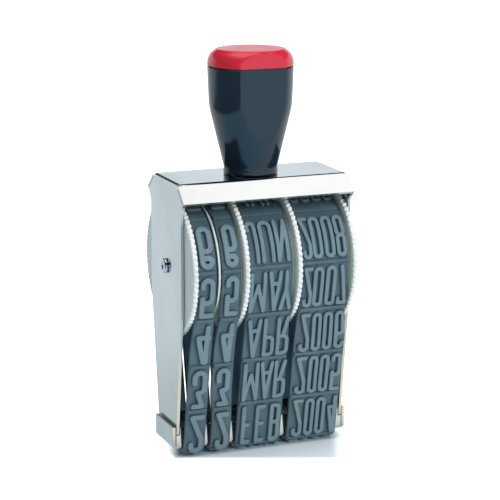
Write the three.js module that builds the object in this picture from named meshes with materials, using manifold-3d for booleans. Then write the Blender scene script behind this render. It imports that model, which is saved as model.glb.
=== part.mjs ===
// A hand date stamp: four rubber bands with raised type run over toothed
// wheels in a bent sheet-steel frame and under a steel foot tray, below a
// moulded handle with a coloured cap.
// Millimetres, +Z up. X runs along the wheel axle, the front is at -Y, and
// the origin lies on the desk below the middle of the frame.

import * as THREE from 'three';
import { mergeVertices } from 'three/addons/utils/BufferGeometryUtils.js';
import Module from 'manifold-3d';

const wasm = await Module();
wasm.setup();

// Fits, shared by every seat and running clearance, and how far a cutter
// runs past what it cuts
const seatGap = 0.3;
const overrun = 1;

// Facets of the round shapes
const weldReach = 1e-4;
const bendSteps = 5;
const roundSteps = 3;
const pinSides = 18;
const smallSides = 16;
const drumSides = 36;
const turnedSides = 48;
const pocketSteps = 4;
const capSteps = 6;
const wheelStep = 0.24;
const cornerStep = 0.35;

// Rubber bands and their raised type. Each band lies against its neighbour on
// the left and has some play on the right.
const cellsPerBand = 13;
const bandThickness = 1.3;
const typeRelief = 1.1;
const typeHeight = 14.6;
const typeMargin = 0.8;
const typeSpacing = 0.6;
const dayBandWidth = 7;
const monthBandWidth = 16.2;
const yearBandWidth = 17.7;
const dayBandPlay = 0.9;
const monthBandPlay = 1.3;
const yearBandPlay = 1.1;

// Places of the first cells up the front, as shares of the cell pitch: the
// rubber is drawn up over the front of the wheels. The others share the rest.
const frontCells = [0, 1, 2, 3, 4.05, 5.07, 6.29];

// How many characters stand side by side in a cell of each band
const characters = { band_day_tens: 1, band_day_units: 1, band_month: 3, band_year: 4 };

// Wheels, their axle and the disc between the two day bands
const wheelRadius = 25;
const flangeThickness = 1.6;
const toothCount = 80;
const toothDepth = 0.7;
const toothTipShare = 0.42;
const bandSeatDepth = 4.1;
const hubRadius = 5.6;
const drumWall = 2;
const drumLap = 0.5;
const ribThickness = 1.6;
const drumRibs = 6;
const discThickness = 0.7;
const discRim = 1.2;
const sleeveRadius = 3;
const pinRadius = 2;
const pinHeadRadius = 2.65;
const pinHeadHeight = 0.9;
const pinHeadRound = 0.55;
const pinDimpleRadius = 1.3;
const pinDimpleFloor = 0.65;
const pinDimpleDepth = 0.5;
const pinDimpleEdge = 0.2;

// Frame: one bent sheet with flared lips along the front and back of its top
const sheet = 1;
const frameBendRadius = 1.3;
const lipBendRadius = 2;
const headroom = 4.6;
const topHalfDepth = 12.5;
const lipLap = 2;
const lipReach = 6.3;
const lipDrop = 5.7;
const lipRelief = 0.35;
const earHalfDepth = 17.5;
const shoulderDrop = 3.2;
const sideHalfDepth = 15.2;
const taperBelowAxle = 12.5;

// Foot tray that the bands pass under
const trayHalfDepth = 9;
const trayHeight = 8.1;
const trayBendRadius = 1.4;
const ledgeDrop = 3;
const wheelToTray = 31;
const tongueSetback = 1.3;

// Handle, with the heights on it measured from its foot
const handleHeight = 37.1;
const collarRadius = 9.5;
const collarTop = 0.8;
const neckRadius = 9.4;
const neckFoot = 1.2;
const neckTop = 2.2;
const coneFootRadius = 9.75;
const coneFoot = 3.8;
const coneTopRadius = 13.95;
const coneTop = 21.3;
const shoulderRadius = 14.45;
const shoulderTop = 23.6;
const gripRadius = 14.95;
const gripHalfDepth = 12.25;
const gripTaperShare = 0.024;
const spigotRadius = 9.5;
const spigotHeight = 3.2;
const locatingPinRadius = 1.2;
const locatingPinOffset = 6;

// Cap
const capHeight = 6.2;
const capTopRadius = 12.2;
const capCrown = 0.35;
const capEdge = 0.5;
const crownShare = 0.5;

// Screw and lock washer under the top plate
const screwRadius = 2;
const screwLength = 18;
const screwTipRadius = 1;
const screwTipLength = 2;
const screwHeadRadius = 3.8;
const screwHeadHeight = 2;
const screwHeadEdge = 0.5;
const screwSlotWidth = 1;
const screwSlotDepth = 0.9;
const washerRadius = 4.2;
const washerThickness = 0.8;
const washerSplit = 0.8;

// Heights worked out from the sizes above
const trayBottom = typeRelief + bandThickness + seatGap;
const trayTop = trayBottom + trayHeight;
const axleHeight = trayTop + wheelToTray + wheelRadius;
const plateUnderside = axleHeight + wheelRadius + headroom;
const plateTop = plateUnderside + sheet;
const ledgeHeight = trayTop - ledgeDrop;
const handleFoot = plateTop + seatGap;
const partingHeight = handleFoot + handleHeight;

// Places across the frame, from the inner face of the left side plate
const stack = [
  ['gap', seatGap], ['wheel_day_tens', flangeThickness],
  ['gap', seatGap], ['band_day_tens', dayBandWidth],
  ['gap', dayBandPlay], ['spacer_disc', discThickness],
  ['gap', seatGap], ['band_day_units', dayBandWidth],
  ['gap', dayBandPlay], ['wheel_day_units', flangeThickness],
  ['gap', seatGap], ['band_month', monthBandWidth],
  ['gap', monthBandPlay], ['wheel_month', flangeThickness],
  ['gap', seatGap], ['band_year', yearBandWidth],
  ['gap', yearBandPlay], ['wheel_year', flangeThickness],
  ['gap', seatGap],
];
const innerWidth = stack.reduce((sum, [, width]) => sum + width, 0);
const innerHalf = innerWidth / 2;
const outerHalf = innerHalf + sheet;
const span = {};
let edge = -innerHalf;
for (const [name, width] of stack) {
  span[name] = [edge, edge + width];
  edge += width;
}

// Finishes
const chrome = { color: 0xbac5cb, roughness: 0.22, metalness: 1 };
const finishes = {
  frame: chrome,
  foot_tray: chrome,
  axle_pin: { ...chrome, roughness: 0.3 },
  axle_sleeve: { ...chrome, roughness: 0.4 },
  spacer_disc: { color: 0xd3d9d7, roughness: 0.5, metalness: 0 },
  wheel: { color: 0xe9ebe6, roughness: 0.5, metalness: 0 },
  band: { color: 0x5f7984, roughness: 0.7, metalness: 0 },
  handle: { color: 0x24323d, roughness: 0.28, metalness: 0 },
  handle_cap: { color: 0xd83a50, roughness: 0.3, metalness: 0 },
  steel: { color: 0x8f979c, roughness: 0.4, metalness: 1 },
};

// A closed three.js geometry becomes a solid that can be joined and cut.
function solidOf(geometry) {
  const plain = geometry.clone();
  plain.deleteAttribute('normal');
  plain.deleteAttribute('uv');
  const merged = mergeVertices(plain, weldReach);
  const index = Array.from(merged.index.array);
  const kept = [];
  for (let i = 0; i < index.length; i += 3) {
    const [a, b, c] = index.slice(i, i + 3);
    if (a !== b && b !== c && c !== a) kept.push(a, b, c);
  }
  return new wasm.Manifold(new wasm.Mesh({
    numProp: 3,
    vertProperties: Float32Array.from(merged.attributes.position.array),
    triVerts: Uint32Array.from(kept),
  }));
}

function geometryOf(solid) {
  const mesh = solid.getMesh();
  const geometry = new THREE.BufferGeometry();
  geometry.setAttribute('position', new THREE.BufferAttribute(mesh.vertProperties, 3));
  geometry.setIndex(new THREE.BufferAttribute(mesh.triVerts, 1));
  geometry.computeVertexNormals();
  return geometry;
}

const joined = (...solids) => solids.reduce((all, solid) => all.add(solid));
const cut = (solid, ...tools) => tools.reduce((rest, tool) => rest.subtract(tool), solid);

// A (Y, Z) outline pushed along X from x0 to x1.
function alongX(shape, x0, x1) {
  const geometry = new THREE.ExtrudeGeometry(shape, { depth: x1 - x0, bevelEnabled: false });
  geometry.translate(0, 0, x0);
  geometry.applyMatrix4(new THREE.Matrix4().set(0, 0, 1, 0, 1, 0, 0, 0, 0, 1, 0, 0, 0, 0, 0, 1));
  return solidOf(geometry);
}

// An (X, Z) outline pushed along Y from -half to half.
function alongY(shape, half) {
  const geometry = new THREE.ExtrudeGeometry(shape, { depth: 2 * half, bevelEnabled: false });
  geometry.translate(0, 0, -half);
  geometry.rotateX(Math.PI / 2);
  return solidOf(geometry);
}

// A closed (radius, height) profile turned about the Z axis.
function turned(profile, sides = turnedSides) {
  const points = profile.map(([radius, height]) => new THREE.Vector2(radius, height));
  const geometry = new THREE.LatheGeometry(points, sides);
  geometry.rotateX(Math.PI / 2);
  return solidOf(geometry);
}

// A cylinder along Z between two heights.
function pinZ(radius, z0, z1, x = 0, sides = pinSides) {
  const geometry = new THREE.CylinderGeometry(radius, radius, z1 - z0, sides);
  geometry.rotateX(Math.PI / 2);
  geometry.translate(x, 0, (z0 + z1) / 2);
  return solidOf(geometry);
}

// A cylinder round the wheels' axis between two places across the frame.
function pinX(radius, x0, x1, sides = pinSides) {
  const geometry = new THREE.CylinderGeometry(radius, radius, x1 - x0, sides);
  geometry.rotateZ(-Math.PI / 2);
  geometry.translate((x0 + x1) / 2, 0, axleHeight);
  return solidOf(geometry);
}

function block(x0, x1, y0, y1, z0, z1) {
  const geometry = new THREE.BoxGeometry(x1 - x0, y1 - y0, z1 - z0);
  geometry.translate((x0 + x1) / 2, (y0 + y1) / 2, (z0 + z1) / 2);
  return solidOf(geometry);
}

const shapeOf = (points) => new THREE.Shape(points.map(([a, b]) => new THREE.Vector2(a, b)));

function arcPoints(centre, radius, from, to, steps) {
  const points = [];
  for (let i = 0; i <= steps; i += 1) {
    const angle = from + ((to - from) * i) / steps;
    points.push([centre[0] + radius * Math.cos(angle), centre[1] + radius * Math.sin(angle)]);
  }
  return points;
}

// The section of a bent sheet. The corners are those of its outer surface,
// met in clockwise order; every bend turns right and shares one centre for
// its outer and inner radius.
function bentSheet(corners, thickness, bendRadius) {
  const outer = [];
  const inner = [];
  const last = corners.length - 1;
  const way = (a, b) => {
    const length = Math.hypot(b[0] - a[0], b[1] - a[1]);
    return [(b[0] - a[0]) / length, (b[1] - a[1]) / length];
  };
  const offset = (p, d, distance) => [p[0] + d[1] * distance, p[1] - d[0] * distance];
  const first = way(corners[0], corners[1]);
  outer.push(corners[0]);
  inner.push(offset(corners[0], first, thickness));
  for (let i = 1; i < last; i += 1) {
    const before = way(corners[i - 1], corners[i]);
    const after = way(corners[i], corners[i + 1]);
    const turn = Math.acos(before[0] * after[0] + before[1] * after[1]);
    const back = bendRadius * Math.tan(turn / 2);
    const start = [corners[i][0] - before[0] * back, corners[i][1] - before[1] * back];
    const centre = offset(start, before, bendRadius);
    const from = Math.atan2(start[1] - centre[1], start[0] - centre[0]);
    outer.push(...arcPoints(centre, bendRadius, from, from - turn, bendSteps));
    inner.push(...arcPoints(centre, bendRadius - thickness, from, from - turn, bendSteps));
  }
  outer.push(corners[last]);
  inner.push(offset(corners[last], way(corners[last - 1], corners[last]), thickness));
  return shapeOf([...outer, ...inner.reverse()]);
}

// Frame

// Half of the side outline, from the top down to the tongue in the tray.
function sideOutline() {
  const slope = lipReach / lipDrop;
  const length = Math.hypot(lipReach, lipDrop);
  const setback = sheet + lipRelief;
  const start = [topHalfDepth - (setback * lipDrop) / length, plateTop - (setback * lipReach) / length];
  const earHeight = start[1] - (earHalfDepth - start[0]) / slope;
  const tongueHalf = trayHalfDepth - sheet - seatGap;
  return [
    [start[0], plateTop],
    start,
    [earHalfDepth, earHeight],
    [sideHalfDepth, earHeight - shoulderDrop],
    [sideHalfDepth, axleHeight - taperBelowAxle],
    [trayHalfDepth, ledgeHeight + seatGap],
    [tongueHalf, ledgeHeight + seatGap],
    [tongueHalf, ledgeHeight - tongueSetback],
    [tongueHalf - tongueSetback, trayBottom + sheet + seatGap],
  ];
}

// The lip's section: all of its bend, or only the flat part below the bend.
function lipSection(side, withBend) {
  const turn = Math.atan2(lipDrop, lipReach);
  const bendEnd = lipBendRadius * Math.tan(turn / 2);
  const edge = [topHalfDepth + lipReach, plateTop - lipDrop];
  const corners = withBend
    ? [[topHalfDepth - lipLap, plateTop], [topHalfDepth, plateTop], edge]
    : [[topHalfDepth + bendEnd * Math.cos(turn), plateTop - bendEnd * Math.sin(turn)], edge];
  const shape = bentSheet(corners, sheet, lipBendRadius);
  if (side > 0) return shape;
  return shapeOf(shape.getPoints().map((p) => [-p.x, p.y]).reverse());
}

function makeFrame() {
  const channel = alongY(bentSheet([
    [-outerHalf, trayBottom], [-outerHalf, plateTop], [outerHalf, plateTop], [outerHalf, trayBottom],
  ], sheet, frameBendRadius), earHalfDepth + overrun);
  const half = sideOutline();
  const outline = shapeOf([...half.map(([y, z]) => [-y, z]), ...half.reverse()]);
  let frame = channel.intersect(alongX(outline, -outerHalf - overrun, outerHalf + overrun));

  // The lips are as wide as the frame, with the frame's own rounded corners.
  const silhouette = shapeOf([
    [-outerHalf, plateUnderside - lipDrop - sheet],
    ...arcPoints([-outerHalf + frameBendRadius, plateTop - frameBendRadius], frameBendRadius,
      Math.PI, Math.PI / 2, bendSteps),
    ...arcPoints([outerHalf - frameBendRadius, plateTop - frameBendRadius], frameBendRadius,
      Math.PI / 2, 0, bendSteps),
    [outerHalf, plateUnderside - lipDrop - sheet],
  ]);
  const front = alongY(silhouette, topHalfDepth + lipReach + overrun);
  const flatHalf = outerHalf - frameBendRadius;
  for (const side of [-1, 1]) {
    const root = alongX(lipSection(side, true), -flatHalf, flatHalf);
    const wide = alongX(lipSection(side, false), -outerHalf, outerHalf).intersect(front);
    frame = joined(frame, root, wide);
  }
  return cut(
    frame,
    pinX(pinRadius + seatGap, -outerHalf - overrun, outerHalf + overrun),
    pinZ(screwRadius + seatGap, plateUnderside - overrun, plateTop + overrun),
    ...[-1, 1].map((side) => pinZ(locatingPinRadius + seatGap, plateUnderside - overrun,
      plateTop + overrun, side * locatingPinOffset, smallSides)),
  );
}

// Foot tray: a channel with turned-up ends that stand outside the side plates
function makeFootTray() {
  const endInner = outerHalf + seatGap;
  const endOuter = endInner + sheet;
  const channel = alongX(bentSheet([
    [trayHalfDepth, trayTop], [trayHalfDepth, trayBottom],
    [-trayHalfDepth, trayBottom], [-trayHalfDepth, trayTop],
  ], sheet, trayBendRadius), -outerHalf, outerHalf);
  const notches = [-1, 1].map((side) => {
    const inner = side * (innerHalf - seatGap);
    const outer = side * (outerHalf + overrun);
    return block(Math.min(inner, outer), Math.max(inner, outer),
      -trayHalfDepth - overrun, trayHalfDepth + overrun, ledgeHeight, trayTop + overrun);
  });
  const ends = alongY(bentSheet([
    [endOuter, trayTop], [endOuter, trayBottom], [-endOuter, trayBottom], [-endOuter, trayTop],
  ], sheet, trayBendRadius), trayHalfDepth);
  const section = shapeOf([
    [-trayHalfDepth, trayTop],
    ...arcPoints([-trayHalfDepth + trayBendRadius, trayBottom + trayBendRadius], trayBendRadius,
      Math.PI, 1.5 * Math.PI, bendSteps),
    ...arcPoints([trayHalfDepth - trayBendRadius, trayBottom + trayBendRadius], trayBendRadius,
      -0.5 * Math.PI, 0, bendSteps),
    [trayHalfDepth, trayTop],
  ]);
  const rounded = ends.intersect(alongX(section, -endOuter - overrun, endOuter + overrun));
  return joined(cut(channel, ...notches), rounded);
}

// Bands: the ground line of a band is the taut loop round its wheel and the
// two lower edges of the tray. Distances run from the middle of the bottom.

const groundRadius = wheelRadius - bandSeatDepth + seatGap + bandThickness;
const cornerRadius = trayBendRadius + seatGap + bandThickness;
const cornerY = trayHalfDepth - trayBendRadius;
const cornerZ = trayBottom + trayBendRadius;

function loopPieces() {
  const rise = axleHeight - cornerZ;
  const reach = Math.hypot(cornerY, rise);
  const lean = Math.atan2(rise, cornerY) - Math.acos((groundRadius - cornerRadius) / reach);
  const strand = Math.sqrt(reach ** 2 - (groundRadius - cornerRadius) ** 2);
  const right = [Math.cos(lean), -Math.sin(lean)];
  const left = [-right[0], right[1]];
  return [
    { kind: 'line', from: [0, cornerZ - cornerRadius], way: [1, 0], length: cornerY },
    { kind: 'arc', centre: [cornerY, cornerZ], radius: cornerRadius, start: -Math.PI / 2,
      length: cornerRadius * (Math.PI / 2 - lean) },
    { kind: 'line', from: [cornerY + cornerRadius * right[0], cornerZ + cornerRadius * right[1]],
      way: [-right[1], right[0]], length: strand },
    { kind: 'arc', centre: [0, axleHeight], radius: groundRadius, start: -lean,
      length: groundRadius * (Math.PI + 2 * lean) },
    { kind: 'line', from: [groundRadius * left[0], axleHeight + groundRadius * left[1]],
      way: [-left[1], left[0]], length: strand },
    { kind: 'arc', centre: [-cornerY, cornerZ], radius: cornerRadius, start: Math.PI + lean,
      length: cornerRadius * (Math.PI / 2 - lean) },
    { kind: 'line', from: [-cornerY, cornerZ - cornerRadius], way: [1, 0], length: cornerY },
  ];
}

const loop = loopPieces();
const loopLength = loop.reduce((sum, piece) => sum + piece.length, 0);
const cellPitch = loopLength / cellsPerBand;

// The point that lies at a distance along the loop, a height off its ground.
function onLoop(distance, height) {
  let rest = distance;
  let index = 0;
  while (index < loop.length - 1 && rest > loop[index].length) {
    rest -= loop[index].length;
    index += 1;
  }
  const piece = loop[index];
  if (piece.kind === 'line') {
    const [wy, wz] = piece.way;
    return [piece.from[0] + wy * rest + wz * height, piece.from[1] + wz * rest - wy * height];
  }
  const angle = piece.start + rest / piece.radius;
  const radius = piece.radius + height;
  return [piece.centre[0] + radius * Math.cos(angle), piece.centre[1] + radius * Math.sin(angle)];
}

// Distances at which the outline needs a point: ends of pieces, steps in arcs.
function loopStops() {
  const stops = [];
  let at = 0;
  for (const piece of loop) {
    const turn = piece.kind === 'arc' ? piece.length / piece.radius : 0;
    const step = piece.radius === groundRadius ? wheelStep : cornerStep;
    const steps = Math.max(1, Math.ceil(turn / step));
    for (let i = 0; i < steps; i += 1) stops.push(at + (piece.length * i) / steps);
    at += piece.length;
  }
  return stops;
}

const plainLoop = (height) => loopStops().map((distance) => onLoop(distance, height));

// Distances of the cells' middles. Cell 0 prints, under the tray, and the next
// ones follow it up the front, against the way that distances run.
function cellMiddles() {
  const last = frontCells[frontCells.length - 1];
  const others = cellsPerBand - frontCells.length;
  const behind = Array.from({ length: others }, (_, i) => (
    last + ((cellsPerBand - last) * (i + 1)) / (others + 1)
  ));
  return [...frontCells, ...behind].map((place) => (loopLength - place * cellPitch) % loopLength);
}

// The same loop with every cell raised by the height of its type.
function typeLoop() {
  const half = typeHeight / 2;
  const middles = cellMiddles();
  const raised = (distance) => middles.some((middle) => {
    const apart = Math.abs(distance - middle);
    return Math.min(apart, loopLength - apart) < half;
  });
  const stops = [
    ...loopStops().map((at) => [at, [raised(at) ? typeRelief : 0]]),
    ...middles.map((middle) => [(middle - half + loopLength) % loopLength, [0, typeRelief]]),
    ...middles.map((middle) => [(middle + half) % loopLength, [typeRelief, 0]]),
  ];
  stops.sort((a, b) => a[0] - b[0]);
  return stops.flatMap(([at, heights]) => heights.map((height) => onLoop(at, height)));
}

function makeBand(x0, x1, across) {
  const inside = shapeOf(plainLoop(-bandThickness));
  const body = alongX(shapeOf(plainLoop(0)), x0, x1);
  const outline = shapeOf(typeLoop());
  const width = (x1 - x0 - 2 * typeMargin - (across - 1) * typeSpacing) / across;
  const type = Array.from({ length: across }, (_, i) => {
    const left = x0 + typeMargin + i * (width + typeSpacing);
    return alongX(outline, left, left + width);
  });
  return cut(joined(body, ...type), alongX(inside, x0 - overrun, x1 + overrun));
}

// Wheels: a toothed flange with a cored drum under the band beside it

const drumRadius = wheelRadius - bandSeatDepth;

function toothedRim() {
  const points = [];
  const root = wheelRadius - toothDepth;
  const step = (2 * Math.PI) / toothCount;
  for (let i = 0; i < toothCount; i += 1) {
    const tip = (step * toothTipShare) / 2;
    for (const [radius, angle] of [[root, -step / 2], [wheelRadius, -tip], [wheelRadius, tip]]) {
      const turn = i * step + angle;
      points.push([radius * Math.cos(turn), axleHeight + radius * Math.sin(turn)]);
    }
  }
  return shapeOf(points);
}

// The core between two ribs of the drum.
function drumPocket(index) {
  const step = (2 * Math.PI) / drumRibs;
  const wedge = (radius) => Math.asin(ribThickness / 2 / radius);
  const outer = drumRadius - drumWall;
  const from = index * step;
  const centre = [0, axleHeight];
  return shapeOf([
    ...arcPoints(centre, outer, from + wedge(outer), from + step - wedge(outer), pocketSteps),
    ...arcPoints(centre, hubRadius, from + step - wedge(hubRadius), from + wedge(hubRadius), roundSteps),
  ]);
}

function makeWheel(flange, drumEnd) {
  const side = drumEnd > flange[1] ? 1 : -1;
  const face = side > 0 ? flange[1] : flange[0];
  const bore = side > 0 ? flange[0] : flange[1];
  const between = (a, b) => [Math.min(a, b), Math.max(a, b)];
  const drum = pinX(drumRadius, ...between(face - side * drumLap, drumEnd), drumSides);
  const pockets = [];
  for (let i = 0; i < drumRibs; i += 1) {
    pockets.push(alongX(drumPocket(i), ...between(face, drumEnd + side * overrun)));
  }
  return cut(
    joined(alongX(toothedRim(), ...flange), drum),
    ...pockets,
    pinX(sleeveRadius + seatGap, ...between(bore - side * overrun, drumEnd + side * overrun)),
  );
}

function makeSpacerDisc() {
  const [x0, x1] = span.spacer_disc;
  return cut(
    pinX(drumRadius + discRim, x0, x1, turnedSides),
    pinX(sleeveRadius + seatGap, x0 - overrun, x1 + overrun),
  );
}

function makeAxleSleeve() {
  const end = innerHalf - seatGap;
  return cut(pinX(sleeveRadius, -end, end), pinX(pinRadius + seatGap, -end - overrun, end + overrun));
}

// The pin is upset at both ends into a round head with a dimple.
function makeAxlePin() {
  const face = outerHalf + seatGap;
  const tip = face + pinHeadHeight;
  const profile = [
    [0, tip - pinDimpleDepth],
    [pinDimpleFloor, tip - pinDimpleDepth],
    [pinDimpleRadius, tip - pinDimpleEdge],
    [pinDimpleRadius + pinDimpleEdge, tip],
    ...arcPoints([pinHeadRadius - pinHeadRound, tip - pinHeadRound], pinHeadRound,
      Math.PI / 2, 0, roundSteps),
    [pinHeadRadius, face],
    [pinRadius, face],
  ];
  const other = profile.map(([radius, height]) => [radius, -height]).reverse();
  const geometry = new THREE.LatheGeometry(
    [...profile, ...other].reverse().map(([radius, height]) => new THREE.Vector2(radius, height)),
    pinSides,
  );
  geometry.rotateZ(-Math.PI / 2);
  geometry.translate(0, 0, axleHeight);
  return solidOf(geometry);
}

// Handle

// The space between the two flats of the grip, which lean in a little below.
function gripSlab() {
  const low = handleFoot - overrun;
  const high = partingHeight + capHeight + overrun;
  const half = (z) => gripHalfDepth + (z - partingHeight) * gripTaperShare;
  const outline = shapeOf([[-half(low), low], [half(low), low], [half(high), high], [-half(high), high]]);
  return alongX(outline, -gripRadius - overrun, gripRadius + overrun);
}

function makeHandle() {
  const profile = [
    [0, 0],
    [collarRadius, 0],
    [collarRadius, collarTop],
    [neckRadius, neckFoot],
    [neckRadius, neckTop],
    [coneFootRadius, coneFoot],
    [coneTopRadius, coneTop],
    [shoulderRadius, shoulderTop],
    [gripRadius, handleHeight],
    [spigotRadius, handleHeight],
    [spigotRadius, handleHeight + spigotHeight],
    [0, handleHeight + spigotHeight],
  ].map(([radius, height]) => [radius, handleFoot + height]);
  const core = pinZ(screwRadius + seatGap, handleFoot - overrun, handleFoot + screwLength + seatGap);
  const pins = [-1, 1].map((side) => pinZ(locatingPinRadius, plateUnderside, handleFoot + sheet,
    side * locatingPinOffset, smallSides));
  return joined(cut(turned(profile).intersect(gripSlab()), core), ...pins);
}

function makeCap() {
  const foot = partingHeight + seatGap;
  const top = partingHeight + capHeight;
  const shoulder = top - capCrown;
  const socketTop = partingHeight + spigotHeight + seatGap;
  const rim = [];
  for (let i = 1; i <= capSteps; i += 1) {
    const turn = (i / capSteps) * (Math.PI / 2);
    rim.push([
      capTopRadius + (gripRadius - capTopRadius) * Math.sin(turn),
      foot + (shoulder - capEdge - foot) * Math.cos(turn),
    ]);
  }
  const profile = [
    [0, top],
    [capTopRadius * crownShare, top - capCrown * crownShare ** 2],
    [capTopRadius - capEdge, shoulder],
    [capTopRadius, shoulder - capEdge],
    ...rim,
    [spigotRadius + seatGap, foot],
    [spigotRadius + seatGap, socketTop],
    [0, socketTop],
  ];
  return turned(profile.reverse()).intersect(gripSlab());
}

function makeScrew() {
  const seat = plateUnderside - 2 * seatGap - washerThickness;
  const low = seat - screwHeadHeight;
  const tip = handleFoot + screwLength;
  const solid = turned([
    [0, low],
    [screwHeadRadius - screwHeadEdge, low],
    [screwHeadRadius, low + screwHeadEdge],
    [screwHeadRadius, seat],
    [screwRadius, seat],
    [screwRadius, tip - screwTipLength],
    [screwTipRadius, tip],
    [0, tip],
  ], pinSides);
  const slot = block(-screwHeadRadius - overrun, screwHeadRadius + overrun,
    -screwSlotWidth / 2, screwSlotWidth / 2, low - overrun, low + screwSlotDepth);
  return cut(solid, slot);
}

function makeLockWasher() {
  const z1 = plateUnderside - seatGap;
  const z0 = z1 - washerThickness;
  return cut(
    pinZ(washerRadius, z0, z1),
    pinZ(screwRadius + seatGap, z0 - overrun, z1 + overrun),
    block(0, washerRadius + overrun, -washerSplit / 2, washerSplit / 2, z0 - overrun, z1 + overrun),
  );
}

// Assembly

const stamp = new THREE.Group();

function place(group, name, solid, finish) {
  const mesh = new THREE.Mesh(geometryOf(solid), new THREE.MeshStandardMaterial(finish));
  mesh.name = name;
  group.add(mesh);
}

const body = new THREE.Group();
place(body, 'frame', makeFrame(), finishes.frame);
place(body, 'foot_tray', makeFootTray(), finishes.foot_tray);
place(body, 'axle_pin', makeAxlePin(), finishes.axle_pin);
place(body, 'axle_sleeve', makeAxleSleeve(), finishes.axle_sleeve);
place(body, 'spacer_disc', makeSpacerDisc(), finishes.spacer_disc);
stamp.add(body);

const wheels = new THREE.Group();
const drumEnds = {
  wheel_day_tens: span.spacer_disc[0] - seatGap,
  wheel_day_units: span.spacer_disc[1] + seatGap,
  wheel_month: span.wheel_day_units[1] + seatGap,
  wheel_year: span.wheel_month[1] + seatGap,
};
for (const [name, drumEnd] of Object.entries(drumEnds)) {
  place(wheels, name, makeWheel(span[name], drumEnd), finishes.wheel);
}
stamp.add(wheels);

const bands = new THREE.Group();
for (const [name, across] of Object.entries(characters)) {
  place(bands, name, makeBand(...span[name], across), finishes.band);
}
stamp.add(bands);

const grip = new THREE.Group();
place(grip, 'handle', makeHandle(), finishes.handle);
place(grip, 'handle_cap', makeCap(), finishes.handle_cap);
place(grip, 'handle_screw', makeScrew(), finishes.steel);
place(grip, 'lock_washer', makeLockWasher(), finishes.steel);
stamp.add(grip);

export default stamp;
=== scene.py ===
import math

import bmesh
import bpy
import numpy as np
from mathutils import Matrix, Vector
from mathutils.bvhtree import BVHTree
from mathutils.geometry import delaunay_2d_cdt


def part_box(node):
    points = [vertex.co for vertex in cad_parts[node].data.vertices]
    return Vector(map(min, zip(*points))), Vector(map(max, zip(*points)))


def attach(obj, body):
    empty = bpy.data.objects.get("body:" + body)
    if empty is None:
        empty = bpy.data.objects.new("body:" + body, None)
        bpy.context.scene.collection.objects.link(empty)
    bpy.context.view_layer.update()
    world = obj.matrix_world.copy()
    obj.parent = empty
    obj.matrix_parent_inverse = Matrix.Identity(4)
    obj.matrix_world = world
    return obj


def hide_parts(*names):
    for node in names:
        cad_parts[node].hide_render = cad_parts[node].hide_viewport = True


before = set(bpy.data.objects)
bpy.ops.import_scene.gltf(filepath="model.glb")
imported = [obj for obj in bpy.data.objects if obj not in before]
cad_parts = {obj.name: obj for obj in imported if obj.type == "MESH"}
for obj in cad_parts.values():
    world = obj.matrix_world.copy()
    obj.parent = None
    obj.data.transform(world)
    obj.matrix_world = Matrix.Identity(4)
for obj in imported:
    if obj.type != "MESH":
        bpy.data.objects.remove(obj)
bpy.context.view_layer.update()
scene = bpy.context.scene
mm = 0.001


# Where a CAD node begins and ends along one axis, in mm
def span(node, axis):
    return [round(corner[axis] / mm, 3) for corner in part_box(node)]


axleHeight = round(sum(span("axle_pin", 2)) / 2, 3)

# Camera, as fitted to the photograph's edges
view = {
    "place": (-240.33, -593.19, 214.69),
    "target": (-0.17, 0.0, 69.66),
    "lens": 134.33,
    "sensor": 36.0,
    "clip": 0.01,
}
cameraData = bpy.data.cameras.new("camera")
cameraData.lens = view["lens"]
cameraData.sensor_width = view["sensor"]
cameraData.clip_start = view["clip"]
camera = bpy.data.objects.new("camera", cameraData)
camera.location = Vector(view["place"]) * mm
camera.rotation_euler = (Vector(view["target"]) - Vector(view["place"])).to_track_quat("-Z", "Y").to_euler()
scene.collection.objects.link(camera)
scene.camera = camera
scene.view_settings.view_transform = "Standard"
print("camera set")


# Nodes
class Number:
    # a number on its way through the nodes, so that shader maths reads as maths
    def __init__(self, tree, socket):
        self.tree = tree
        self.socket = socket

    def worked(self, operation, *others, clamp=False):
        sockets = dict(enumerate((self, *others)))
        made = self.tree.node("ShaderNodeMath", {"operation": operation, "use_clamp": clamp}, sockets)
        return Number(self.tree, made.outputs[0])

    def __add__(self, other):
        return self.worked("ADD", other)

    def __radd__(self, other):
        return self.worked("ADD", other)

    def __sub__(self, other):
        return self.worked("SUBTRACT", other)

    def __rsub__(self, other):
        return (self * -1.0).worked("ADD", other)

    def __mul__(self, other):
        return self.worked("MULTIPLY", other)

    def __rmul__(self, other):
        return self.worked("MULTIPLY", other)

    def __truediv__(self, other):
        return self.worked("DIVIDE", other)

    def __pow__(self, other):
        return self.worked("POWER", other)

    def __mod__(self, other):
        return self.worked("FLOORED_MODULO", other)

    def size(self):
        return self.worked("ABSOLUTE")

    def whole(self):
        return self.worked("FLOOR")

    def cosine(self):
        return self.worked("COSINE")

    def sine(self):
        return self.worked("SINE")

    def root(self):
        return self.worked("SQRT")

    # 0 below low, 1 above high, smooth between
    def step(self, low, high):
        made = self.tree.node("ShaderNodeMapRange", {"interpolation_type": "SMOOTHSTEP"},
                              {"Value": self, "From Min": low, "From Max": high})
        return Number(self.tree, made.outputs[0])


class Tree:
    def __init__(self, nodeTree):
        self.made = nodeTree

    def node(self, kind, settings=None, sockets=None):
        new = self.made.nodes.new(kind)
        for name, value in (settings or {}).items():
            setattr(new, name, value)
        for key, value in (sockets or {}).items():
            if isinstance(value, Number):
                self.made.links.new(value.socket, new.inputs[key])
            elif isinstance(value, bpy.types.NodeSocket):
                self.made.links.new(value, new.inputs[key])
            else:
                new.inputs[key].default_value = value
        return new

    def number(self, node, output=0):
        return Number(self, node.outputs[output])

    def parts(self, vector):
        split = self.node("ShaderNodeSeparateXYZ", None, {0: vector})
        return [Number(self, split.outputs[i]) for i in range(3)]

    def blend(self, factor, first, second):
        made = self.node("ShaderNodeMix", {"data_type": "RGBA"}, {0: factor, 6: first, 7: second})
        return made.outputs[2]


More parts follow.
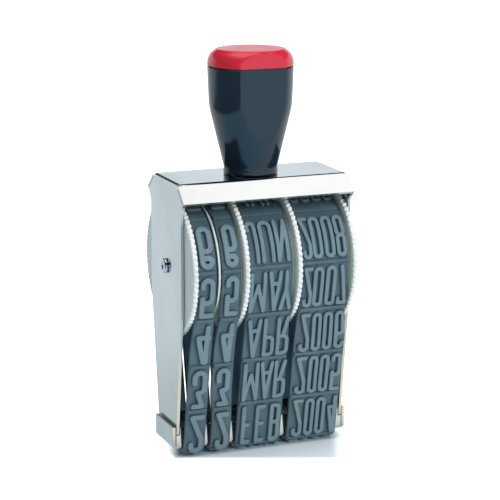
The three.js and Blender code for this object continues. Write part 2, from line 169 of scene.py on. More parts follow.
class Finish(Tree):
    # a material with a Principled shader, read in object coordinates
    def __init__(self, name, constants):
        self.material = bpy.data.materials.new(name)
        self.material.use_nodes = True
        self.material.node_tree.nodes.clear()
        super().__init__(self.material.node_tree)
        self.shader = self.node("ShaderNodeBsdfPrincipled", None, constants)
        self.node("ShaderNodeOutputMaterial", None, {"Surface": self.shader.outputs[0]})
        self.place = self.node("ShaderNodeTexCoord").outputs["Object"]

    def feed(self, socket, value):
        source = value.socket if isinstance(value, Number) else value
        self.made.links.new(source, self.shader.inputs[socket])

    def noise(self, scale, detail=3.0, stretch=(1.0, 1.0, 1.0)):
        mapped = self.node("ShaderNodeMapping", None, {"Vector": self.place, "Scale": stretch})
        made = self.node("ShaderNodeTexNoise", None,
                         {"Vector": mapped.outputs[0], "Scale": scale, "Detail": detail})
        return self.number(made)

    def bump(self, height, strength, distance):
        made = self.node("ShaderNodeBump", None,
                         {"Height": height, "Strength": strength, "Distance": distance})
        self.feed("Normal", made.outputs[0])


def rgb(red, green, blue):
    return (red, green, blue, 1.0)


# Finishes
chromeLook = {
    "clean": rgb(0.60, 0.635, 0.65), "dull": rgb(0.54, 0.575, 0.59), "dulling": 0.8, "roughness": 0.07,
    "smudge": 0.09, "smudgeScale": 45.0, "smudgeRange": (0.42, 0.75),
    "roll": 0.03, "rollScale": 220.0, "rollStretch": (1.0, 1.0, 6.0),
    "wave": 0.12, "waveDepth": 0.00002, "waveScaleShare": 0.5,
    "cut": rgb(0.62, 0.63, 0.56), "cutRoughness": 0.1,
}


def chromeFinish(name, look):
    finish = Finish(name, {"Metallic": 1.0, "IOR": 1.6})
    smudge = finish.noise(look["smudgeScale"], detail=4.0).step(*look["smudgeRange"])
    cut = finish.number(finish.node("ShaderNodeAttribute", {"attribute_name": "cut"}), "Fac")
    sheet = finish.blend(smudge * look["dulling"], look["clean"], look["dull"])
    finish.feed("Base Color", finish.blend(cut, sheet, look["cut"]))
    grain = finish.noise(look["rollScale"], detail=2.0, stretch=look["rollStretch"])
    rough = smudge * look["smudge"] + grain * look["roll"] + look["roughness"]
    finish.feed("Roughness", cut * look["cutRoughness"] + rough)
    wave = finish.noise(look["smudgeScale"] * look["waveScaleShare"], detail=1.0)
    finish.bump(wave, look["wave"], look["waveDepth"])
    return finish.material


steelLook = {
    **chromeLook, "clean": rgb(0.50, 0.52, 0.53), "dull": rgb(0.36, 0.38, 0.40), "roughness": 0.2,
}
pinLook = {
    **chromeLook, "clean": rgb(0.58, 0.61, 0.63), "dull": rgb(0.42, 0.45, 0.48), "roughness": 0.12,
}

# foot is painted shade for the lower walls of the type; inside is a paler colour painted on as light on the
# loop's inner face; the pale grey colour also paints a highlight along the face's broken edge.
rubberLook = {
    "foot": rgb(0.009, 0.017, 0.023), "ground": rgb(0.060, 0.103, 0.128), "face": rgb(0.138, 0.211, 0.246),
    "dust": rgb(0.215, 0.300, 0.335), "inside": rgb(0.12, 0.25, 0.34),
    "groundRange": (0.1, 0.44), "faceRange": (0.55, 0.9), "highlightRise": (0.8, 0.9), "highlightFall": (0.94, 1.0),
    "insideLightRange": (0.6, 1.0), "edgeHighlight": 0.5,
    "patchDust": 0.3, "patchScale": 130.0, "patchRange": (0.35, 0.7),
    "speck": 0.18, "speckScale": 900.0, "speckBump": 0.25, "speckDepth": 0.00004,
    "roughness": 0.56, "patchRoughness": 0.12,
}


# Tone by the attribute relief, which is -1 inside the loop, 0 at the foot of a wall, 0.45 on
# the ground and 1 on the type's face. The foot colour is painted shade on the lower walls, a
# pale line along the face's broken edge is a painted highlight, and the loop's inner face has a
# paler colour that is painted light.
def rubberFinish():
    look = rubberLook
    finish = Finish("band_rubber", {"IOR": 1.5})
    relief = finish.number(finish.node("ShaderNodeAttribute", {"attribute_name": "relief"}), "Fac")
    patch = finish.noise(look["patchScale"], detail=4.0).step(*look["patchRange"])
    speck = finish.noise(look["speckScale"], detail=2.0)
    # Painted shade: the walls darken towards their foot.
    colour = finish.blend(relief.step(*look["groundRange"]), look["foot"], look["ground"])
    colour = finish.blend(relief.step(*look["faceRange"]), colour, look["face"])
    # Painted highlight: a pale line along the broken edge of the type's face; the random patches on the face
    # are real dust.
    edge = relief.step(*look["highlightRise"]) * (1.0 - relief.step(*look["highlightFall"]))
    dustAndHighlightMix = edge * look["edgeHighlight"] + patch * relief * look["patchDust"]
    colour = finish.blend(dustAndHighlightMix, colour, look["dust"])
    # Painted light: the loop's inner face takes a paler blue colour.
    colour = finish.blend((relief * -1.0).step(*look["insideLightRange"]), colour, look["inside"])
    finish.feed("Base Color", finish.blend(speck * look["speck"], colour, look["ground"]))
    finish.feed("Roughness", patch * look["patchRoughness"] + look["roughness"])
    finish.bump(speck, look["speckBump"], look["speckDepth"])
    return finish.material


# shade and inner are painted shade on the flange faces inside the rim: the outer wheel's face is cooler and
# the inner wheels' faces paler.
wheelLook = {
    "white": rgb(0.76, 0.78, 0.76), "shade": rgb(0.50, 0.58, 0.57), "inner": rgb(0.60, 0.71, 0.66),
    "grime": rgb(0.50, 0.51, 0.47), "rimFrom": 23.6, "rimTo": 24.25,
    "shadeTo": -25.0, "innerShadeFrom": -20.0, "patchGrime": 0.3, "patchScale": 220.0, "patchRange": (0.45, 0.8),
    "roughness": 0.42, "patchRoughness": 0.1, "grit": 0.15, "gritScale": 1500.0, "gritDepth": 0.00003,
}


def wheelFinish():
    look = wheelLook
    finish = Finish("wheel_plastic", {"IOR": 1.46})
    x, y, z = finish.parts(finish.place)
    up = z - axleHeight * mm
    radius = (y * y + up * up).root()
    rim = radius.step(look["rimFrom"] * mm, look["rimTo"] * mm)
    patch = finish.noise(look["patchScale"]).step(*look["patchRange"])
    colour = finish.blend(patch * look["patchGrime"], look["white"], look["grime"])
    # Painted shade on the flange faces, with the white kept for the rim.
    side = finish.blend(x.step(look["shadeTo"] * mm, look["innerShadeFrom"] * mm), look["shade"], look["inner"])
    finish.feed("Base Color", finish.blend(rim, side, colour))
    finish.feed("Roughness", patch * look["patchRoughness"] + look["roughness"])
    finish.bump(finish.noise(look["gritScale"], detail=2.0), look["grit"], look["gritDepth"])
    return finish.material


discLook = {
    "white": rgb(0.66, 0.74, 0.74), "shade": rgb(0.30, 0.34, 0.31), "rimFrom": 21.7, "rimTo": 22.05,
    "patchShade": 0.15, "patchScale": 260.0, "roughness": 0.3, "patchRoughness": 0.2,
}


def discFinish():
    look = discLook
    finish = Finish("disc_plastic", {"IOR": 1.46})
    x, y, z = finish.parts(finish.place)
    up = z - axleHeight * mm
    rim = (y * y + up * up).root().step(look["rimFrom"] * mm, look["rimTo"] * mm)
    patch = finish.noise(look["patchScale"])
    white = rim * (1.0 - patch * look["patchShade"])
    finish.feed("Base Color", finish.blend(white, look["shade"], look["white"]))
    finish.feed("Roughness", patch * look["patchRoughness"] + look["roughness"])
    return finish.material


gripLook = {
    "base": rgb(0.007, 0.017, 0.029), "worn": rgb(0.012, 0.026, 0.039), "roughness": 0.09,
    "wear": 0.5, "cloudScale": 60.0, "cloudRange": (0.4, 0.8), "cloudRoughness": 0.08,
    "grit": 0.1, "gritScale": 2600.0, "gritDepth": 0.00002,
}
capLook = {**gripLook, "base": rgb(0.56, 0.016, 0.036), "worn": rgb(0.50, 0.024, 0.045), "roughness": 0.2}


def plasticFinish(name, look):
    finish = Finish(name, {"IOR": 1.5})
    cloud = finish.noise(look["cloudScale"], detail=5.0).step(*look["cloudRange"])
    finish.feed("Base Color", finish.blend(cloud * look["wear"], look["base"], look["worn"]))
    finish.feed("Roughness", cloud * look["cloudRoughness"] + look["roughness"])
    finish.bump(finish.noise(look["gritScale"], detail=2.0), look["grit"], look["gritDepth"])
    return finish.material


chrome = chromeFinish("frame_chrome", chromeLook)
trayChrome = chromeFinish("tray_chrome", {**chromeLook, "smudgeScale": 60.0})
pinChrome = chromeFinish("axle_chrome", pinLook)
screwSteel = chromeFinish("screw_steel", steelLook)
rubber = rubberFinish()
wheelPlastic = wheelFinish()
discPlastic = discFinish()
gripPlastic = plasticFinish("handle_plastic", gripLook)
capPlastic = plasticFinish("cap_plastic", capLook)
print("finishes made")


# Meshes
def linked(name, mesh, material=None):
    piece = bpy.data.objects.new(name, mesh)
    scene.collection.objects.link(piece)
    if material:
        piece.data.materials.clear()
        piece.data.materials.append(material)
    return piece


def meshOf(name, points, faces):
    mesh = bpy.data.meshes.new(name)
    mesh.from_pydata([tuple(p) for p in points], [], faces)
    mesh.update()
    return mesh


def smoothed(mesh, degrees):
    mesh.shade_smooth()
    mesh.set_sharp_from_angle(angle=math.radians(degrees))


def settled(piece, degrees):
    graph = bpy.context.evaluated_depsgraph_get()
    mesh = bpy.data.meshes.new_from_object(piece.evaluated_get(graph))
    piece.modifiers.clear()
    piece.data = mesh
    smoothed(mesh, degrees)


def dropped(*pieces):
    for piece in pieces:
        bpy.data.objects.remove(piece)


# Sheet metal and turned steel: lengths in mm, angles in degrees
easeSizes = {
    "weld": 0.002, "flat": 0.5, "segments": 2, "crease": 32.0, "merge": 0.02, "least": 0.01,
    "inset": 0.01, "cutShare": 1.6,
}
sheetThickness = {"frame": 1.0, "foot_tray": 1.0}


# Marks the sheet's cut edges: faces that have clearly more metal behind them than the sheet is thick
def markCuts(mesh, sheet):
    work = bmesh.new()
    work.from_mesh(mesh)
    tree = BVHTree.FromBMesh(work)
    cuts = []
    for face in work.faces:
        centre = face.calc_center_median()
        _, _, _, depth = tree.ray_cast(centre - face.normal * easeSizes["inset"] * mm, -face.normal)
        cuts.append(1.0 if depth is not None and depth > sheet * easeSizes["cutShare"] * mm else 0.0)
    work.free()
    mesh.attributes.new("cut", "FLOAT", "FACE").data.foreach_set("value", cuts)


# A copy of the CAD solid with broken edges
def eased(node, material, width):
    s = easeSizes
    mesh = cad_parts[node].data.copy()
    work = bmesh.new()
    work.from_mesh(mesh)
    bmesh.ops.remove_doubles(work, verts=work.verts, dist=s["weld"] * mm)
    bmesh.ops.dissolve_limit(work, angle_limit=math.radians(s["flat"]), verts=work.verts, edges=work.edges)
    work.to_mesh(mesh)
    work.free()
    piece = linked(node + "_piece", mesh, material)
    bevel = piece.modifiers.new("edge", "BEVEL")
    bevel.width = width * mm
    bevel.segments = s["segments"]
    bevel.limit_method = "ANGLE"
    bevel.angle_limit = math.radians(s["crease"])
    bevel.miter_outer = "MITER_ARC"
    settled(piece, s["crease"])
    work = bmesh.new()
    work.from_mesh(piece.data)
    bmesh.ops.remove_doubles(work, verts=work.verts, dist=s["merge"] * mm)
    bmesh.ops.dissolve_degenerate(work, dist=s["least"] * mm, edges=work.edges)
    work.to_mesh(piece.data)
    work.free()
    smoothed(piece.data, s["crease"])
    if node in sheetThickness:
        markCuts(piece.data, sheetThickness[node])
    weighted = piece.modifiers.new("normals", "WEIGHTED_NORMAL")
    weighted.keep_sharp = True
    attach(piece, "housing")
    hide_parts(node)
    return piece


sheetPieces = {  # finish, width of the broken edge and material slot
    "frame": (chrome, 0.12, "frame_sheet"),
    "foot_tray": (trayChrome, 0.12, "tray_sheet"),
    "axle_pin": (pinChrome, 0.06, "axle_steel"),
    "axle_sleeve": (pinChrome, 0.08, "axle_steel"),
    "spacer_disc": (discPlastic, 0.12, "disc_plastic"),
    "handle_screw": (screwSteel, 0.1, "screw_steel"),
    "lock_washer": (screwSteel, 0.1, "screw_steel"),
}
for node, (material, width, slotName) in sheetPieces.items():
    eased(node, material, width)
print("sheet metal eased")

# The taut loop of a band, as on the CAD part: round the wheel and the tray's two lower edges
loopSizes = {
    "groundRadius": 22.5, "cornerY": 7.6, "cornerZ": 4.1, "cornerRadius": 3.0,
    "arcStep": 0.04, "lineStep": 1.0, "cells": 13,
}


def loopPoints():
    s = loopSizes
    rise = axleHeight - s["cornerZ"]
    reach = math.hypot(s["cornerY"], rise)
    lean = math.atan2(rise, s["cornerY"]) - math.acos((s["groundRadius"] - s["cornerRadius"]) / reach)

    def arc(y, z, radius, start, end):
        count = math.ceil(abs(end - start) / s["arcStep"])
        turns = [start + (end - start) * i / count for i in range(count + 1)]
        return [(y + radius * math.cos(t), z + radius * math.sin(t)) for t in turns]

    corners = arc(s["cornerY"], s["cornerZ"], s["cornerRadius"], -math.pi / 2, -lean)
    wheel = arc(0.0, axleHeight, s["groundRadius"], -lean, math.pi + lean)
    back = arc(-s["cornerY"], s["cornerZ"], s["cornerRadius"], math.pi + lean, 1.5 * math.pi)
    marks = [(0.0, s["cornerZ"] - s["cornerRadius"]), *corners, *wheel, *back]
    points = []
    for (y0, z0), (y1, z1) in zip(marks, marks[1:] + marks[:1]):
        count = max(1, math.ceil(math.hypot(y1 - y0, z1 - z0) / s["lineStep"]))
        points += [(0.0, y0 + (y1 - y0) * i / count, z0 + (z1 - z0) * i / count) for i in range(count)]
    return points


loop = loopPoints()
loopLength = sum(math.dist(a, b) for a, b in zip(loop, loop[1:] + loop[:1]))
cellPitch = loopLength / loopSizes["cells"]


# Places of the cells, in cell pitches: the first ones are given, as the rubber is drawn up
# unevenly over the front, and the others share the rest of the loop.
def cellPlaces(front):
    cells = loopSizes["cells"]
    others = cells - len(front)
    return [*front, *(front[-1] + (cells - front[-1]) * (i + 1) / (others + 1) for i in range(others))]


def alongLoop(place):
    return -place * cellPitch % loopLength


def loopCurve():
    data = bpy.data.curves.new("bandLoop", "CURVE")
    data.dimensions = "3D"
    line = data.splines.new("POLY")
    line.points.add(len(loop) - 1)
    for point, place in zip(line.points, loop):
        point.co = (*[v * mm for v in place], 1.0)
    line.use_cyclic_u = True
    return linked("bandLoop", data)


# Raised type, drawn as single strokes in a box of width w and height h
def arc(x, y, radius, start, end, steps=9):
    turns = [math.radians(start + (end - start) * i / steps) for i in range(steps + 1)]
    return [(x + radius * math.cos(t), y + radius * math.sin(t)) for t in turns]


def strokesOf(sign, w, h):
    r = w / 2
    ring = [*arc(r, h - r, r, 180, 0), *arc(r, r, r, 0, -180), (0, h - r)]
    waist = 0.62 * h
    bowl = [(0, h), (w - r, h), *arc(w - r, h - r, r, 90, 0), *arc(w - r, 0.5 * h + r, r, 0, -90),
            (0, 0.5 * h)]
    foot = [(0, 0.5 * h), (w - r, 0.5 * h), *arc(w - r, 0.5 * h - r, r, 90, 0), *arc(w - r, r, r, 0, -90),
            (0, 0)]
    six = [(w, h - r - 0.02 * h), *arc(r, h - r, r, 0, 180), *arc(r, r, r, 180, 360),
           *arc(r, waist - r, r, 0, 180)]
    web = [(0, 0.79 * h), (0.72 * w, 0.79 * h), (w, 0.86 * h)]
    three = [(0, h), (0.85 * w, h), (0.35 * w, 0.6 * h), *arc(r, 0.6 * h - r, r, 90, 0),
             *arc(r, r, r, 0, -180), (0, 0.3 * h)]
    shapes = {
        "0": [ring],
        "1": [[(0.66 * w, 0), (0.66 * w, h), (0.12 * w, 0.8 * h)]],
        "2": [[(0, h - r - 0.05 * h), *arc(r, h - r, r, 180, 0), (w, 0.68 * h), (0, 0), (w, 0)]],
        "3": [three],
        "4": [[(0.87 * w, 0), (0.87 * w, h), (0.66 * w, h), (0, 0.28 * h), (w, 0.28 * h)]],
        "5": [[(w, h), (0, h), (0, 0.5 * h), *arc(r, 0.5 * h, r, 180, 0), *arc(r, r, r, 0, -180),
               (0, r + 0.05 * h)]],
        "6": [six],
        "6 webbed": [six, web],
        "7": [[(0, 0.88 * h), (0, h), (w, h), (0.3 * w, 0)]],
        "8": [[*arc(r, h - r, r, 180, 0), *arc(r, 0.5 * h + r, r, 0, -180), (0, h - r)],
              [*arc(r, 0.5 * h - r, r, 180, 0), *arc(r, r, r, 0, -180), (0, 0.5 * h - r)]],
        "9": [[(w - x, h - y) for x, y in six]],
        "A": [[(0, 0), (0.5 * w, h), (w, 0)], [(0.15 * w, 0.28 * h), (0.85 * w, 0.28 * h)]],
        "B": [[(0, 0), (0, h)], bowl, foot],
        "C": [[(w, h - r - 0.1 * h), *arc(r, h - r, r, 0, 180), *arc(r, r, r, 180, 360), (w, r + 0.1 * h)]],
        "D": [[(0, 0), (0, h), (w - r, h), *arc(w - r, h - r, r, 90, 0), *arc(w - r, r, r, 0, -90), (0, 0)]],
        "E": [[(w, h), (0, h), (0, 0), (w, 0)], [(0, 0.5 * h), (0.85 * w, 0.5 * h)]],
        "F": [[(w, h), (0, h), (0, 0)], [(0, 0.5 * h), (0.85 * w, 0.5 * h)]],
        "G": [[(w, h - r - 0.1 * h), *arc(r, h - r, r, 0, 180), *arc(r, r, r, 180, 360), (w, 0.45 * h),
               (0.55 * w, 0.45 * h)]],
        "J": [[(w, h), *arc(r, r, r, 0, -180), (0, r + 0.1 * h)]],
        "L": [[(0, h), (0, 0), (w, 0)]],
        "M": [[(0, 0), (0, h), (0.5 * w, 0.3 * h), (w, h), (w, 0)]],
        "N": [[(0, 0), (0, h), (w, 0), (w, h)]],
        "P": [[(0, 0), (0, h)], bowl],
        "R": [[(0, 0), (0, h)], bowl, [(0.5 * w, 0.5 * h), (w, 0)]],
        "S": [[(w, h - r - 0.06 * h), *arc(r, h - r, r, 0, 180), *arc(r, 0.5 * h + r, r, 180, 270),
               *arc(r, 0.5 * h - r, r, 90, 0), *arc(r, r, r, 0, -180), (0, r + 0.06 * h)]],
        "T": [[(0, h), (w, h)], [(0.5 * w, h), (0.5 * w, 0)]],
        "U": [[(0, h), *arc(r, r, r, 180, 360), (w, h)]],
        "V": [[(0, h), (0.5 * w, 0), (w, h)]],
        "Y": [[(0, h), (0.5 * w, 0.45 * h), (w, h)], [(0.5 * w, 0.45 * h), (0.5 * w, 0)]],
        "-": [[(0, 0.5 * h), (w, 0.5 * h)]],
    }
    shapes["O"] = shapes["0"]
    return shapes[sign]


typeSizes = {
    "height": 14.6, "relief": 1.1, "sink": 0.2, "draft": 0.17, "chamfer": 0.11, "grid": 0.11,
    "slice": 1.0, "overrun": 1.0, "keep": 0.0175, "slopeReach": 0.02,
}


# Distance from points to the nearest stroke
def distanceTo(strokes, points):
    nearest = np.full(len(points), 1e9)
    for stroke in strokes:
        for a, b in zip(stroke, stroke[1:]):
            a, b = np.array(a), np.array(b)
            along = b - a
            share = np.clip(((points - a) @ along) / max(along @ along, 1e-12), 0, 1)
            nearest = np.minimum(nearest, np.linalg.norm(points - a - share[:, None] * along, axis=1))
    return nearest


# Closed outlines of the strokes at half their width, found on a fine grid
def outlinesOf(strokes, half):
    step = typeSizes["grid"]
    marks = np.array([p for stroke in strokes for p in stroke])
    low = marks.min(axis=0) - half - 2 * step
    count = np.ceil((marks.max(axis=0) + half + 2 * step - low) / step).astype(int) + 1
    gx, gy = np.meshgrid(*(low[k] + step * np.arange(count[k]) for k in range(2)), indexing="ij")
    field = distanceTo(strokes, np.column_stack([gx.ravel(), gy.ravel()])).reshape(gx.shape) - half
    field[field == 0] = 1e-9

    def crossing(i, j, di, dj):
        a, b = field[i, j], field[i + di, j + dj]
        share = a / (a - b)
        return (low[0] + step * (i + di * share), low[1] + step * (j + dj * share))

    onward = {}
    for i in range(count[0] - 1):
        for j in range(count[1] - 1):
            corners = [(i, j), (i + 1, j), (i + 1, j + 1), (i, j + 1)]
            inside = [field[c] < 0 for c in corners]
            if all(inside) or not any(inside):
                continue
            edges = [("x", i, j), ("y", i + 1, j), ("x", i, j + 1), ("y", i, j)]
            leaving = [e for e in range(4) if inside[e] and not inside[(e + 1) % 4]]
            coming = [e for e in range(4) if not inside[e] and inside[(e + 1) % 4]]
            for e in leaving:
                after = [(e - s) % 4 for s in range(1, 4) if (e - s) % 4 in coming][0]
                onward[edges[e]] = edges[after]
    loops = []
    while onward:
        key = next(iter(onward))
        ring = []
        while key in onward:
            kind, i, j = key
            ring.append(crossing(i, j, 1, 0) if kind == "x" else crossing(i, j, 0, 1))
            key = onward.pop(key)
        loops.append(thinned(ring))
    return loops


# Leaves out points that lie on the line of their neighbours
def thinned(ring):
    kept = [ring[0]]
    start = 0
    for i in range(2, len(ring)):
        a, b = np.array(ring[start]), np.array(ring[i])
        way = (b - a) / max(np.linalg.norm(b - a), 1e-9)
        off = [abs((p[0] - a[0]) * way[1] - (p[1] - a[1]) * way[0]) for p in ring[start + 1:i]]
        if max(off) > typeSizes["keep"]:
            kept.append(ring[i - 1])
            start = i - 1
    kept.append(ring[-1])
    return kept


# One raised sign: flat face, broken edge and drafted walls, sliced so that it can bend
def signSolid(sign, width, height, stroke):
    s = typeSizes
    strokes = [[(x + stroke / 2, y + stroke / 2) for x, y in line]
               for line in strokesOf(sign, width - stroke, height - stroke)]
    half = stroke / 2
    points, edges = [], []
    for ring in outlinesOf(strokes, half):
        start = len(points)
        points += ring
        edges += [(start + i, start + (i + 1) % len(ring)) for i in range(len(ring))]
    at = s["slice"] / 2
    while at < height:
        start = len(points)
        points += [(-s["overrun"], at), (width + s["overrun"], at)]
        edges.append((start, start + 1))
        at += s["slice"]
    flat, _, faces, _, _, _ = delaunay_2d_cdt([Vector(p) for p in points], edges, [], 0, 1e-5)
    flat = np.array([tuple(p) for p in flat])
    middles = np.array([flat[list(f)].mean(axis=0) for f in faces])
    keep = distanceTo(strokes, middles) < half
    faces = [list(f) for f, inside in zip(faces, keep) if inside]
    used = sorted({v for f in faces for v in f})
    order = {v: i for i, v in enumerate(used)}
    flat = flat[used]
    faces = [[order[v] for v in f] for f in faces]
    sides = {}
    for f in faces:
        for a, b in zip(f, f[1:] + f[:1]):
            sides[(a, b)] = sides.get((a, b), 0) + 1
    rim = [(a, b) for a, b in sides if (b, a) not in sides]
    onRim = np.zeros(len(flat), bool)
    onRim[[v for edge in rim for v in edge]] = True
    small = s["slopeReach"]
    slope = np.column_stack([
        distanceTo(strokes, flat + [small, 0]) - distanceTo(strokes, flat - [small, 0]),
        distanceTo(strokes, flat + [0, small]) - distanceTo(strokes, flat - [0, small]),
    ])
    slope /= np.maximum(np.linalg.norm(slope, axis=1), 1e-9)[:, None]
    slope[~onRim] = 0
    levels = [(-s["chamfer"], s["relief"]), (0.0, s["relief"] - s["chamfer"]), (s["draft"], -s["sink"])]
    count = len(flat)
    solid = np.vstack([np.column_stack([flat + slope * out, np.full(count, up)]) for out, up in levels])
    closed = [tuple(f) for f in faces] + [tuple(2 * count + v for v in reversed(f)) for f in faces]
    for a, b in rim:
        for level in (0, count):
            closed.append((a + level, a + level + count, b + level + count, b + level))
    return solid, closed


# The faces turned so that they all look outwards
def rightWay(solid, faces):
    total = 0.0
    for f in faces:
        a = solid[f[0]]
        for i in range(1, len(f) - 1):
            total += float(np.dot(a, np.cross(solid[f[i]], solid[f[i + 1]])))
    return faces if total > 0 else [tuple(reversed(f)) for f in faces]


bandText = {
    "band_day_tens": ["1", "2", "3", "4", "5", ["6 webbed"], "7", "8", "9", "0", "", "-", ""],
    "band_day_units": ["1", "2", "3", "4", "5", ["6 webbed"], "7", "8", "9", "0", "", "-", ""],
    "band_month": ["JAN", "FEB", "MAR", "APR", "MAY", "JUN", "JUL", "AUG", "SEP", "OCT", "NOV", "DEC", ""],
    "band_year": [str(2003 + i) for i in range(13)],
}
# Lean in mm and spread as a share of half the width, each at the upper front, the foot and the back.
# front holds the places of the cells up the front, in cell pitches.
bandSizes = {
    "band_day_tens": {"stroke": 1.7, "gap": 0.5, "left": 0.95, "right": 0.85, "lean": (-0.6, -0.57, 0.3),
                      "spread": (0.09, 0.09, 0.13), "front": (0.09, 1.0, 2.01, 3.0, 4.02, 5.04, 6.33)},
    "band_day_units": {"stroke": 1.7, "gap": 0.5, "left": 1.15, "right": 1.05, "lean": (-0.85, 0.1, 0.35),
                       "spread": (0.1, 0.035, 0.23), "front": (0.09, 1.0, 2.01, 3.0, 4.02, 5.04, 6.33)},
    "band_month": {"stroke": 1.3, "gap": 0.62, "left": 0.6, "right": 0.3, "lean": (0.0, 0.0, 0.0),
                   "spread": (0.04, 0.04, 0.04), "front": (0.09, 1.064, 2.053, 3.03, 4.033, 5.06, 6.33)},
    "band_year": {"stroke": 1.25, "gap": 0.7, "left": 1.0, "right": 0.45, "lean": (0.35, 0.45, 0.0),
                  "spread": (0.1, 0.075, 0.035), "front": (0.1, 1.08, 2.064, 3.035, 4.04, 5.055, 6.33)},
}
# Start and width of each sign, from the band's left edge, where the letters are set unevenly
setSigns = {
    "FEB": ((1.2, 3.4), (6.2, 3.6), (11.5, 3.8)), "MAR": ((0.55, 5.6), (6.5, 5.0), (11.8, 4.3)),
    "APR": ((0.6, 5.2), (6.5, 4.3), (11.5, 4.5)), "MAY": ((0.2, 6.1), (7.1, 5.0), (11.4, 4.6)),
    "JUN": ((0.15, 3.8), (4.7, 4.9), (10.35, 4.7)),
    "2007": ((0.7, 3.5), (4.4, 3.9), (9.1, 3.9), (13.6, 3.8)),
    "2008": ((0.5, 3.5), (4.2, 3.9), (8.8, 3.9), (13.3, 3.7)),
}
stripSizes = {"thickness": 1.3, "round": 0.18, "station": 0.8, "tone": 0.45, "insideLightTone": -1.0}
widthShares = {"M": 1.28, "A": 1.15, "J": 0.94, "E": 0.92, "F": 0.92, "L": 0.9}


# Start and width of each sign where they share the band's width evenly
def evenSigns(text, width, sizes):
    weights = [widthShares.get(sign, 1.0) for sign in text]
    room = width - sizes["left"] - sizes["right"] - sizes["gap"] * (len(text) - 1)
    unit = room / max(sum(weights), 1.0)
    starts = [sizes["left"] + unit * sum(weights[:i]) + sizes["gap"] * i for i in range(len(text))]
    return [(start, unit * weight) for start, weight in zip(starts, weights)]


# The whole band laid out flat: X across, Y along the loop, Z off its ground
def flatBand(node, width):
    sizes = bandSizes[node]
    points, faces, relief = [], [], []

    def added(solid, closed, heights):
        start = len(points)
        points.extend(solid)
        faces.extend(tuple(start + v for v in f) for f in closed)
        relief.extend(heights)

    s = stripSizes
    t, r = s["thickness"], s["round"]
    half = width / 2
    section = [(-half + r, 0), (half - r, 0), (half, -r), (half, -t + r), (half - r, -t), (-half + r, -t),
               (-half, -t + r), (-half, -r)]
    stations = round(loopLength / s["station"])
    strip = [(x, loopLength * i / stations, z) for i in range(stations + 1) for x, z in section]
    side = len(section)
    closed = [(i * side + k, (i + 1) * side + k, (i + 1) * side + (k + 1) % side, i * side + (k + 1) % side)
              for i in range(stations) for k in range(side)]
    tones = [s["insideLightTone"] if z <= -t else s["tone"] for _, _, z in strip]
    added([np.array(p) for p in strip], [tuple(reversed(f)) for f in closed], tones)

    made = {}
    for place, text in zip(cellPlaces(sizes["front"]), bandText[node]):
        middle = alongLoop(place)
        for sign, (x, wide) in zip(text, setSigns.get("".join(text)) or evenSigns(text, width, sizes)):
            key = (sign, round(wide, 4))
            if key not in made:
                solid, closed = signSolid(sign, wide, typeSizes["height"], sizes["stroke"])
                made[key] = (solid, rightWay(solid, closed))
            solid, closed = made[key]
            placed = solid + [x - half, middle - typeSizes["height"] / 2, 0]
            added(list(placed), closed, np.clip(placed[:, 2] / typeSizes["relief"], 0, 1).tolist())
    mesh = meshOf(node + "_flat", [p * mm for p in points], faces)
    mesh.attributes.new("relief", "FLOAT", "POINT").data.foreach_set("value", relief)
    return mesh


# The rib's foot takes the dark foot colour of the rubber, which is painted shade.
ribSizes = {
    "height": 0.48, "foot": 2.0, "top": 1.3, "sink": 0.2, "side": 0.25, "round": 0.12,
    "footShadeTone": 0.0, "shoulderTone": 0.44, "topTone": 0.6,
}


# The low bar that parts one cell from the next, laid out flat round its own middle
def ribMesh(width):
    s = ribSizes
    half = width / 2 - s["side"]
    rings = [
        (s["foot"] / 2, -s["sink"], 0.0, s["footShadeTone"]),
        (s["top"] / 2, s["height"] - s["round"], 0.0, s["shoulderTone"]),
        (s["top"] / 2 - s["round"], s["height"], s["round"], s["topTone"]),
    ]
    corners = ((-1, -1), (1, -1), (1, 1), (-1, 1))
    points = [(x * (half - inset), y * reach, z) for reach, z, inset, _ in rings for x, y in corners]
    faces = [(3, 2, 1, 0), (8, 9, 10, 11)]
    for level in (0, 4):
        faces += [(level + i, level + (i + 1) % 4, level + 4 + (i + 1) % 4, level + 4 + i) for i in range(4)]
    mesh = meshOf("rib", [np.array(p) * mm for p in points], faces)
    tones = [tone for *_, tone in rings for _ in corners]
    mesh.attributes.new("relief", "FLOAT", "POINT").data.foreach_set("value", tones)
    return linked("rib", mesh)


# Points half way between neighbouring cells
def ribPlaces(front):
    places = [*cellPlaces(front), front[0] + loopSizes["cells"]]
    points = [np.array([0, alongLoop((a + b) / 2), 0]) * mm for a, b in zip(places, places[1:])]
    return linked("ribPlaces", meshOf("ribPlaces", points, []))


def newGroup(name, inputs):
    group = bpy.data.node_groups.new(name, "GeometryNodeTree")
    group.interface.new_socket(name="Geometry", in_out="INPUT", socket_type="NodeSocketGeometry")
    for title, kind in inputs:
        group.interface.new_socket(name=title, in_out="INPUT", socket_type="NodeSocket" + kind)
    group.interface.new_socket(name="Geometry", in_out="OUTPUT", socket_type="NodeSocketGeometry")
    tree = Tree(group)
    return tree, tree.node("NodeGroupInput").outputs


def grown(piece, tree, values):
    modifier = piece.modifiers.new("grown", "NODES")
    modifier.node_group = tree.made
    for item in tree.made.interface.items_tree:
        if item.in_out == "INPUT" and item.name in values:
            modifier[item.identifier] = values[item.name]


# Where a strand leans, as shares of the way down from the axle to the desk
strandShares = {"lean": (0.2, 0.42), "foot": (0.6, 0.85)}
weldDistance = 0.001


